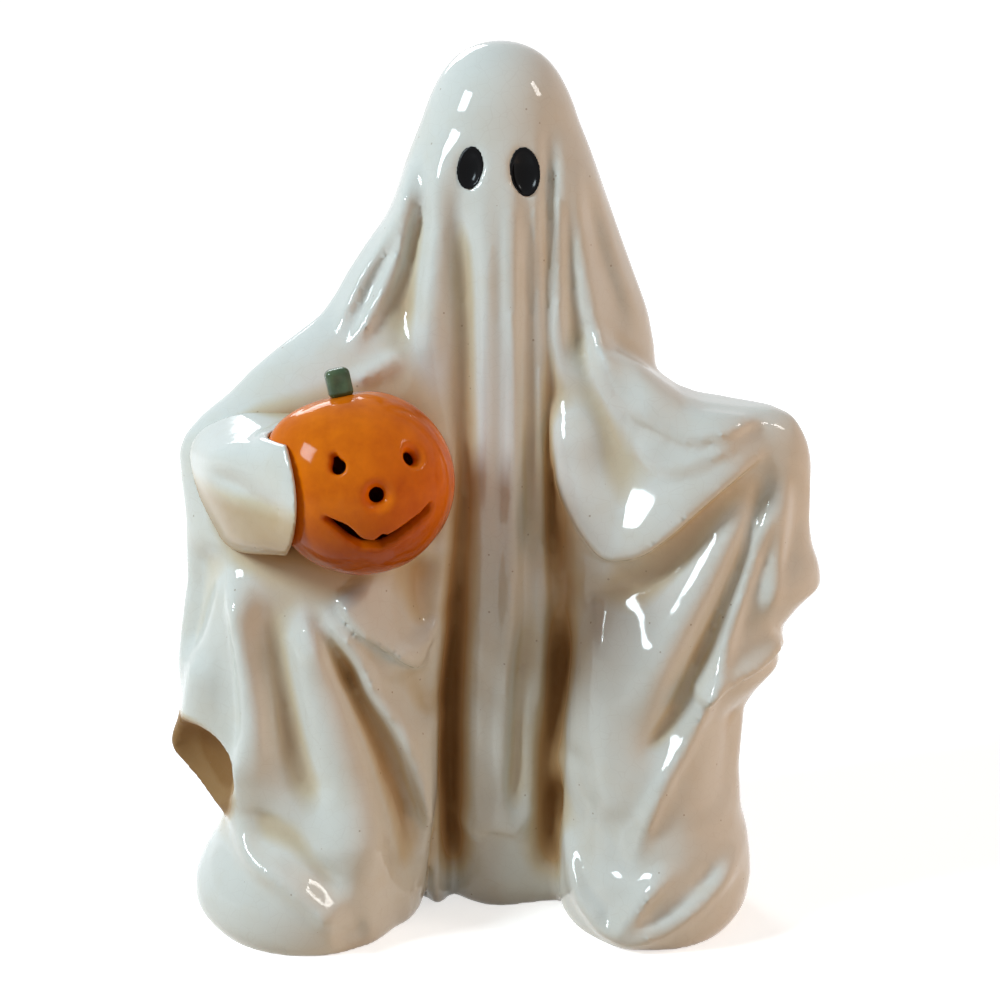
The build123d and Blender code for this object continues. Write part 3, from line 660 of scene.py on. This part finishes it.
def orange_glaze():
    """Orange brushed on by hand, thinner and thicker, under a clear gloss, with painted shade under the hand
    and underneath.
    """
    nodes = Nodes(bpy.data.materials.new("orange_glaze"))
    place = nodes.add("ShaderNodeTexCoord").outputs["Object"]
    strokes = nodes.add("ShaderNodeTexNoise", Vector=place, Scale=110.0, Detail=4.0, Roughness=0.6)
    strokes = strokes.outputs["Fac"]
    fold = nodes.add("ShaderNodeAttribute", {"attribute_name": "fold"}).outputs["Fac"]
    # painted shade, deeper where the fold attribute is higher
    shade = nodes.math("MULTIPLY", fold, ORANGE_SHADE_SHARE, True)
    color = nodes.mix(shade, nodes.ramp(strokes, ORANGE_STOPS), ORANGE_SHADE)
    bump = nodes.add("ShaderNodeBump", Height=strokes, Strength=0.1, Distance=0.0008)
    return nodes.finish(Base_Color=color, Roughness=0.07, IOR=1.18, Normal=bump.outputs["Normal"])


def green_glaze():
    """Dark green brushed on by hand, under a clear gloss."""
    nodes = Nodes(bpy.data.materials.new("green_glaze"))
    place = nodes.add("ShaderNodeTexCoord").outputs["Object"]
    strokes = nodes.add("ShaderNodeTexNoise", Vector=place, Scale=260.0, Detail=3.0).outputs["Fac"]
    return nodes.finish(Base_Color=nodes.ramp(strokes, GREEN_STOPS), Roughness=0.2, IOR=1.4)


def black_glaze():
    """Thick black gloss."""
    nodes = Nodes(bpy.data.materials.new("black_glaze"))
    return nodes.finish(Base_Color=BLACK_COLOR, Roughness=0.15, IOR=1.2)


WHITE = white_glaze()
ORANGE = orange_glaze()
GREEN = green_glaze()
BLACK = black_glaze()


# Painted shade: depth in a fold, from how much of the space around a point is filled
FINE_REACH = 8.0
BROAD_REACH = 18.0
FINE_SHARE = 2.4
BROAD_SHARE = 1.7
FLAT_SHELTER = 0.5  # the filled share on a flat
FOOT_SHADE_FADE = 20.0  # height over which the painted shade fades out towards the floor


def paint_shade(piece, joint, points, extra_shade=0.0):
    """Keeps how much painted shade each point gets, from how deep it lies in a fold plus any extra painted
    shade, as the attribute that the glaze reads.
    """
    fine = shelter(joint, points, FIGURE_LOW, CELL, FINE_REACH) - FLAT_SHELTER
    broad = shelter(joint, points, FIGURE_LOW, CELL, BROAD_REACH) - FLAT_SHELTER
    depth = np.maximum(FINE_SHARE * fine + BROAD_SHARE * broad, 0)
    depth = depth * ease(points[:, 2] / FOOT_SHADE_FADE) + extra_shade
    # the attribute fold carries the painted shade to the glazes
    layer = piece.data.attributes.new("fold", "FLOAT", "POINT")
    layer.data.foreach_set("value", np.clip(depth, 0, 1).astype(np.float32))


JOINT_GAP = 0.2  # joint line between two castings

# Eye sockets of the ghost
EYE_RADII = (5.0, 3.7, 8.2)
EYES = {"left_eye": (-7.0, -5.6, 238.4), "right_eye": (10.9, -5.6, 236.6)}
GLAZE_THICKNESS = 0.8
EYE_OVERLAP = 0.25  # how far the black glaze reaches into the wall of its socket
EYE_RIM = (0.3, 0.0, 0.3)  # how much narrower than the socket the glaze leaves it
EYE_SINK = 0.3  # from the plain sheet down to the edge of the glaze
EYE_ROUND = 0.5

# Ghost body
INNER_CELL = 3.0  # of the smooth inside
FOOT_SINK = 3.0  # the rounded rim of the foot would end this far below the floor
FOOT_ROUND = 10.0
WALL = 8.0  # from the plain sheet to the smooth inside of the casting
HEM_HOLLOW = ((-97.0, -31.0, 53.0), (18.5, 23.0, 17.0))  # the open fold at the left hem
HOLLOW_WALL = 4.0  # wall behind that fold, and the fade of the painted shade in it
# painted shade inside the open fold at the left hem
HOLLOW_PAINTED_SHADE = 0.9
HEM_SHADE = ((-98.0, -24.0, 49.0), (17.0, 36.0, 19.0))  # painted shade, brown, in and under that fold
CUT_ROUND = 0.8


def body_field(x, y, z, relief):
    """The sheet with its folds, the open fold at its hem, its eye sockets and the seat of the pumpkin."""
    sheet = sheet_field(x, y, z, CELL, relief)
    sheet = smooth_max(sheet, -ellipsoid(x, y, z, *HEM_HOLLOW), CUT_ROUND)
    sheet = smooth_max(sheet, -z - FOOT_SINK, FOOT_ROUND)
    for middle in EYES.values():
        sheet = smooth_max(sheet, -ellipsoid(x, y, z, middle, EYE_RADII), CUT_ROUND)
    return smooth_max(sheet, -pumpkin_ball(x, y, z, JOINT_GAP), CUT_ROUND)


def cavity_field(x, y, z):
    """The inside of the casting, which follows the plain sheet."""
    return np.maximum(ghost_form(x, y, z) + WALL, HOLLOW_WALL - ellipsoid(x, y, z, *HEM_HOLLOW))


def pressed(points):
    """Points with those below the floor pressed flat against it."""
    return np.column_stack((points[:, :2], np.maximum(points[:, 2], 0)))


def make_body(sheet, joint):
    """The outside with its folds, and the plainer inside, open underneath."""
    outside, faces = surface(sheet, FIGURE_LOW, CELL)
    outside = pressed(relaxed(outside, faces, BODY_ROUNDS))
    underneath = outside[faces, 2].max(1) == 0
    faces = faces[~underneath | (cavity_field(*outside[faces].mean(1).T) > 0)]
    cavity = cavity_field(*grid(FIGURE_LOW, FIGURE_HIGH, INNER_CELL))
    inside, inner_faces = surface(cavity, FIGURE_LOW, INNER_CELL)
    inside = pressed(inside)
    inner_faces = inner_faces[inside[inner_faces, 2].max(1) > 0]
    points = np.vstack((outside, inside))
    faces = np.vstack((faces, inner_faces[:, ::-1] + len(outside)))
    piece = add_piece("ghost_body_glazed", points, faces, "white_glaze", WHITE, "ghost_body")
    # painted shade in and under the open fold at the hem
    hollow_shade = ease(1 - ellipsoid(*points.T, *HEM_SHADE) / HOLLOW_WALL)
    paint_shade(piece, joint, points, HOLLOW_PAINTED_SHADE * hollow_shade)


def make_eye(name):
    """Black glaze that lines an eye socket."""
    middle = np.array(EYES[name])
    radii = np.array(EYE_RADII)
    low = middle - SMALL_HALF
    x, y, z = grid(low, middle + SMALL_HALF, SMALL_CELL)
    socket = ellipsoid(x, y, z, middle, radii + EYE_OVERLAP)
    hollow = ellipsoid(x, y, z, middle - (0, GLAZE_THICKNESS, 0), radii - EYE_RIM)
    lining = smooth_max(socket, -hollow, EYE_ROUND)
    field = smooth_max(lining, ghost_form(x, y, z) + EYE_SINK, EYE_ROUND)
    points, faces = surface(field, low, SMALL_CELL)
    add_piece(f"{name}_glazed", points, faces, "black_glaze", BLACK, name)


# Pumpkin
PUMPKIN = np.array([-37.7, -36.5, 148.0])
PUMPKIN_RADIUS = 27.0
PUMPKIN_WALL = 4.0
POLE = np.array([-0.208, 0.076, 0.975])  # its own up, front and right
AHEAD = np.array([0.185, -0.976, 0.115])
ASIDE = np.array([0.961, 0.204, 0.189])
LOBE_WAY = np.array([-0.80, -0.24, 0.55])  # the shoulder that shows over the hand
LOBE_RISE = 3.2
LOBE_SPREAD = 0.08  # how fast that shoulder falls away
RIBS = 8
RIB_RISE = 0.5
DIMPLE_DEPTH = 0.9  # around the stem
DIMPLE_SPREAD = 0.25
FACE_HOLES = (  # degrees right of and above the middle of the face, radius, and how much it flares
    (-18.1, 21.1, 2.2, 0.2),
    (-19.6, 27.6, 1.1, 0.2),  # the upper end of that eye
    (32.4, 15.5, 2.0, 0.7),
    (2.7, -1.7, 2.2, 1.0),
)
FLARE_DEPTH = 2.0  # depth below the outside from which holes widen
HOLE_ROUND = 1.0
INSIDE_ROUND = 0.5
BEHIND = 9.0  # the field of a hole on the far side of the ball
PUMPKIN_CELL = 0.75
PUMPKIN_HALF = 31.0  # half size of the grid around it
UNDERSIDE_PAINTED_SHADE = 0.7  # painted shade on the lower half
UNDERSIDE_START = 0.15  # how far above the middle it starts, as a share of the radius
MOUTH_FLARE = 0.15
MOUTH_ROUND = 0.8
MOUTH_GROW = 0.6
MOUTH = (  # its corners, in degrees as for the holes
    (-32.5, -9.2), (-21.7, -17.0), (-18.3, -21.3), (-16.4, -26.2), (-11.4, -30.5), (-4.6, -32.2),
    (1.0, -28.9), (4.4, -30.6), (17.2, -26.7), (29.1, -22.4), (37.8, -16.9), (36.1, -21.0),
    (21.2, -28.6), (9.5, -33.6), (-2.3, -36.2), (-15.0, -33.0), (-21.5, -26.7), (-26.8, -18.3),
)


def out_of_pumpkin(turn, latitude):
    """The direction from the middle of the pumpkin to a point of its face."""
    turn, latitude = math.radians(turn), math.radians(latitude)
    level = AHEAD * math.cos(turn) + ASIDE * math.sin(turn)
    return level * math.cos(latitude) + POLE * math.sin(latitude)


def polygon(across, up, corners):
    """A field of a flat outline, negative inside it."""
    gap = np.full(across.shape, np.inf)
    inside = np.zeros(across.shape, bool)
    for (x1, y1), (x2, y2) in zip(corners, corners[1:] + corners[:1]):
        run, rise = x2 - x1, y2 - y1
        share = np.clip(((across - x1) * run + (up - y1) * rise) / (run * run + rise * rise), 0, 1)
        gap = np.minimum(gap, np.hypot(across - x1 - share * run, up - y1 - share * rise))
        crosses = (y1 > up) != (y2 > up)
        if rise:
            inside ^= crosses & (across < x1 + run * (up - y1) / rise)
    return np.where(inside, -gap, gap)


def pumpkin_ball(x, y, z, grow=0.0):
    """A field of the outside of the pumpkin, lightly ribbed, with a dimple at the stem."""
    offsets = offsets_from(PUMPKIN, x, y, z)
    up = along(offsets, POLE)
    turn = np.arctan2(along(offsets, ASIDE), along(offsets, AHEAD))
    reach = total_reach(offsets)
    level = np.sqrt(np.maximum(1 - (up / reach) ** 2, 0))
    ribs = RIB_RISE * np.abs(np.cos(RIBS / 2 * turn)) * level
    dimple = DIMPLE_DEPTH * np.exp(-((level / DIMPLE_SPREAD) ** 2)) * (up > 0)
    lobe = LOBE_RISE * np.exp((along(offsets, LOBE_WAY) / reach - 1) / LOBE_SPREAD)
    return reach - PUMPKIN_RADIUS - grow - ribs + dimple - lobe


def pumpkin_field(x, y, z):
    """The pumpkin's shell with the face cut through it."""
    offsets = offsets_from(PUMPKIN, x, y, z)
    reach = total_reach(offsets)
    shell = smooth_max(pumpkin_ball(x, y, z), PUMPKIN_RADIUS - PUMPKIN_WALL - reach, INSIDE_ROUND)
    flare = np.maximum(reach - PUMPKIN_RADIUS + FLARE_DEPTH, 0)
    for turn, latitude, radius, dish in FACE_HOLES:
        ahead = along(offsets, out_of_pumpkin(turn, latitude))
        hole = np.sqrt(np.maximum(reach**2 - ahead**2, 0)) - radius - dish * flare
        shell = smooth_max(shell, -np.where(ahead > 0, hole, BEHIND), HOLE_ROUND)
    ahead = along(offsets, AHEAD)
    turn = np.degrees(np.arctan2(along(offsets, ASIDE), ahead))
    latitude = np.degrees(np.arcsin(np.clip(along(offsets, POLE) / reach, -1, 1)))
    mouth = polygon(turn, latitude, MOUTH) * math.radians(PUMPKIN_RADIUS) - MOUTH_GROW
    mouth = mouth - MOUTH_FLARE * flare
    return smooth_max(shell, -np.where(ahead > 0, mouth, BEHIND), MOUTH_ROUND)


def make_pumpkin(joint):
    """The pumpkin, with painted shade underneath."""
    low = PUMPKIN - PUMPKIN_HALF
    field = pumpkin_field(*grid(low, PUMPKIN + PUMPKIN_HALF, PUMPKIN_CELL))
    points, faces = surface(field, low, PUMPKIN_CELL)
    points = relaxed(points, faces, SMALL_ROUNDS)
    piece = add_piece("pumpkin_glazed", points, faces, "orange_glaze", ORANGE, "pumpkin")
    # painted shade, growing towards the bottom of the ball
    drop = (PUMPKIN[2] - points[:, 2]) / PUMPKIN_RADIUS
    paint_shade(piece, joint, points, UNDERSIDE_PAINTED_SHADE * ease(drop + UNDERSIDE_START))


# Stem
STEM_HALF = (3.6, 3.3, 4.4)
STEM_ROUND = 1.9
STEM_LIFT = 3.0  # its middle above the ball
STEM_DIMPLE = ((0.3, -4.6, 0.2), (1.6, 1.5, 2.2))  # middle and radii, from the middle of the stem
STEM_DIMPLE_ROUND = 1.2


def make_stem():
    """A rounded block with a dimple in front."""
    middle = PUMPKIN + POLE * (PUMPKIN_RADIUS + STEM_LIFT)
    low = middle - SMALL_HALF
    offsets = offsets_from(middle, *grid(low, middle + SMALL_HALF, SMALL_CELL))
    local = [along(offsets, way) for way in (ASIDE, -AHEAD, POLE)]
    past = [np.abs(value) - half + STEM_ROUND for value, half in zip(local, STEM_HALF)]
    outside = np.sqrt(sum(np.maximum(value, 0) ** 2 for value in past))
    block = outside + np.minimum(np.maximum.reduce(past), 0) - STEM_ROUND
    field = smooth_max(block, -ellipsoid(*local, *STEM_DIMPLE), STEM_DIMPLE_ROUND)
    points, faces = surface(field, low, SMALL_CELL)
    points = relaxed(points, faces, SMALL_ROUNDS)
    add_piece("pumpkin_stem_glazed", points, faces, "green_glaze", GREEN, "pumpkin_stem")


# Covered hand: flat faces with rounded edges, each as a place on it and the way it looks
HAND_FACES = (
    ((-80, -40, 162.5), (0.0, -0.06, 1.0)),
    ((-85.5, -20, 158), (-0.55, -0.2, 0.8)),
    ((-55, -61.7, 146), (-0.55, -0.80, 0.24)),
    ((-65, -52.3, 146.5), (-0.65, -0.72, -0.24)),
    ((-86, -28, 158), (-0.93, -0.33, 0.05)),
    ((-79.5, -36, 140), (-0.85, -0.40, -0.35)),
    ((-70, -40, 127), (0.0, -0.25, -0.97)),
    ((-80, -8, 145), (0.0, 1.0, 0.0)),
)
HAND_ROUND = 5.5
HAND_OVER = 2.2  # thickness of the cloth that lies on the pumpkin
HAND_EDGE = (-54.5, 147.5, 0.013)  # its edge there: the place and height of its middle, and its bow
HAND_SPAN = (131.0, 162.5)  # from the lower to the upper end of that cloth
HAND_BLEND = 4.0
KNUCKLE_PAINTED_SHADE = 0.5  # painted shade under the knuckles
HAND_FOLDS = (Fold(((-85, 152), (-75, 149), (-65, 145), (-52, 141)), 3.0, -2.8, ends=0.35),)
KNUCKLE_HEIGHT = 149.0
KNUCKLE_FADE = 9.0
HAND_LOW = (-104.0, -66.0, 118.0)
HAND_HIGH = (-46.0, 8.0, 172.0)
HAND_CELL = 0.7
HAND_RELIEF = fold_map(HAND_FOLDS)


def hand_crease(x, z):
    """How far the crease stands out of the hand, the same from front to back."""
    shape = (x.shape[0], 1, z.shape[2])
    return read_map(HAND_RELIEF, np.broadcast_to(x, shape), np.broadcast_to(z, shape))


def hand_field(x, y, z):
    """The hand under the sheet, with the crease below its knuckles and its cloth over the pumpkin."""
    field = None
    for place, way in HAND_FACES:
        way = np.array(way) / np.linalg.norm(way)
        face = along(offsets_from(place, x, y, z), way)
        field = face if field is None else smooth_max(field, face, HAND_ROUND)
    past_ends = np.maximum(HAND_SPAN[0] - z, z - HAND_SPAN[1])
    over = smooth_max(pumpkin_ball(x, y, z, HAND_OVER), past_ends, CUT_ROUND)
    field = smooth_min(field, over, HAND_BLEND) - hand_crease(x, z)
    place, height, bow = HAND_EDGE
    field = smooth_max(field, x - place + bow * (z - height) ** 2, CUT_ROUND)
    return smooth_max(field, -pumpkin_ball(x, y, z, JOINT_GAP), JOINT_GAP)


def make_hand(relief, joint):
    """The hand up to the sheet of the body, with painted shade under its knuckles."""
    x, y, z = grid(HAND_LOW, HAND_HIGH, HAND_CELL)
    sheet = sheet_field(x, y, z, HAND_CELL, relief)
    field = smooth_max(hand_field(x, y, z), -sheet + JOINT_GAP, CUT_ROUND)
    points, faces = surface(field, HAND_LOW, HAND_CELL)
    points = relaxed(points, faces, SMALL_ROUNDS)
    piece = add_piece("covered_hand_glazed", points, faces, "white_glaze", WHITE, "covered_hand")
    # painted shade below the knuckles
    paint_shade(piece, joint, points, KNUCKLE_PAINTED_SHADE * ease((KNUCKLE_HEIGHT - points[:, 2]) / KNUCKLE_FADE))


def make_figure():
    """All six pieces, with painted shade from the shelter that they give each other."""
    relief = fold_map(SHEET_FOLDS)
    x, y, z = grid(FIGURE_LOW, FIGURE_HIGH, CELL)
    sheet = body_field(x, y, z, relief)
    joint = np.minimum(np.minimum(sheet, hand_field(x, y, z)), pumpkin_ball(x, y, z))
    make_body(sheet, joint)
    for name in EYES:
        make_eye(name)
    make_pumpkin(joint)
    make_stem()
    make_hand(relief, joint)


make_figure()

# Camera
camera_data = bpy.data.cameras.new("camera")
camera_data.sensor_width = SENSOR
camera_data.lens = FOCAL_PIXELS / PHOTO_SIZE * SENSOR
camera_data.shift_x = (PHOTO_SIZE / 2 - TARGET_PIXEL[0]) / PHOTO_SIZE
camera_data.shift_y = (TARGET_PIXEL[1] - PHOTO_SIZE / 2) / PHOTO_SIZE
camera = bpy.data.objects.new("camera", camera_data)
camera.location = Vector(CAMERA_PLACE * MM)
camera.rotation_euler = Vector(-TOWARDS_CAMERA).to_track_quat("-Z", "Y").to_euler()
bpy.context.collection.objects.link(camera)
bpy.context.scene.camera = camera

# World: a soft fill for light, and a white backdrop for the eye
FILL = (0.97, 0.98, 0.97, 1)
FILL_STRENGTH = 0.15
BACKDROP = (1.0, 1.0, 1.0, 1)
world = bpy.data.worlds.new("world")
bpy.context.scene.world = world
world_nodes = Nodes(world)
fill = world_nodes.tree.nodes["Background"]
world_nodes.put(fill.inputs["Color"], FILL)
world_nodes.put(fill.inputs["Strength"], FILL_STRENGTH)
backdrop = world_nodes.add("ShaderNodeBackground", Color=BACKDROP)
choice = world_nodes.add("ShaderNodeMixShader", Fac=world_nodes.seen())
world_nodes.put(choice.inputs[1], fill.outputs["Background"])
world_nodes.put(choice.inputs[2], backdrop.outputs["Background"])
world_nodes.put(world_nodes.tree.nodes["World Output"].inputs["Surface"], choice.outputs["Shader"])

# Lamps, in metres: a cool box up on the left, weaker ones up on the right and behind, a warm one low right
LOOK_AT = Vector((0, 0, 0.15))
SOFT_BOXES = {  # place, size, power, colour, and whether it shows in reflections
    "left_box": ((-0.80, -0.40, 0.75), (0.24, 0.30), 8.4, (0.78, 0.92, 1.0), True),
    "right_box": ((0.74, -0.20, 0.85), (0.13, 0.24), 1.3, (1.0, 0.97, 0.93), True),
    "back_box": ((-0.35, 0.95, 0.75), (0.40, 0.40), 3.5, (0.92, 0.97, 1.0), True),
    "warm_box": ((0.90, -0.35, 0.12), (0.60, 0.40), 3.2, (1.0, 0.52, 0.24), False),
}
for name, (place, (width, height), watts, color, shown) in SOFT_BOXES.items():
    lamp = bpy.data.lights.new(name, "AREA")
    lamp.shape = "RECTANGLE"
    lamp.size = width
    lamp.size_y = height
    lamp.energy = watts
    lamp.color = color
    holder = bpy.data.objects.new(name, lamp)
    holder.location = place
    holder.rotation_euler = (LOOK_AT - Vector(place)).to_track_quat("-Z", "Y").to_euler()
    holder.visible_glossy = shown
    bpy.context.collection.objects.link(holder)

# Floor, in metres: pale to the eye, more so far away, with a warm bounce for light
FLOOR_HALF = 60
FLOOR_CORNERS = [(-FLOOR_HALF, -FLOOR_HALF, 0), (FLOOR_HALF, -FLOOR_HALF, 0),
                 (FLOOR_HALF, FLOOR_HALF, 0), (-FLOOR_HALF, FLOOR_HALF, 0)]
FLOOR_BOUNCE = (0.62, 0.47, 0.33)
FLOOR_PALE = (0.9, 0.9, 0.9)
GLOW_COLOR = (1, 1, 1, 1)
GLOW_REACH = (0.25, 1.0)
GLOW_STRENGTH = (0.62, 0.88)
floor_mesh = bpy.data.meshes.new("floor")
floor_mesh.from_pydata(FLOOR_CORNERS, [], [(0, 1, 2, 3)])
floor = bpy.data.objects.new("floor", floor_mesh)
floor_nodes = Nodes(bpy.data.materials.new("floor"))
seen = floor_nodes.seen()
place = floor_nodes.add("ShaderNodeTexCoord").outputs["Object"]
away = floor_nodes.add("ShaderNodeVectorMath", {"operation": "LENGTH"}, Vector=place).outputs["Value"]
glow = floor_nodes.span(away, GLOW_REACH, GLOW_STRENGTH)
floor_mesh.materials.append(floor_nodes.finish(
    Base_Color=floor_nodes.mix(seen, FLOOR_BOUNCE, FLOOR_PALE),
    Roughness=0.9,
    Emission_Color=GLOW_COLOR,
    Emission_Strength=floor_nodes.math("MULTIPLY", seen, glow),
))
bpy.context.collection.objects.link(floor)

bpy.context.scene.view_settings.view_transform = "Standard"
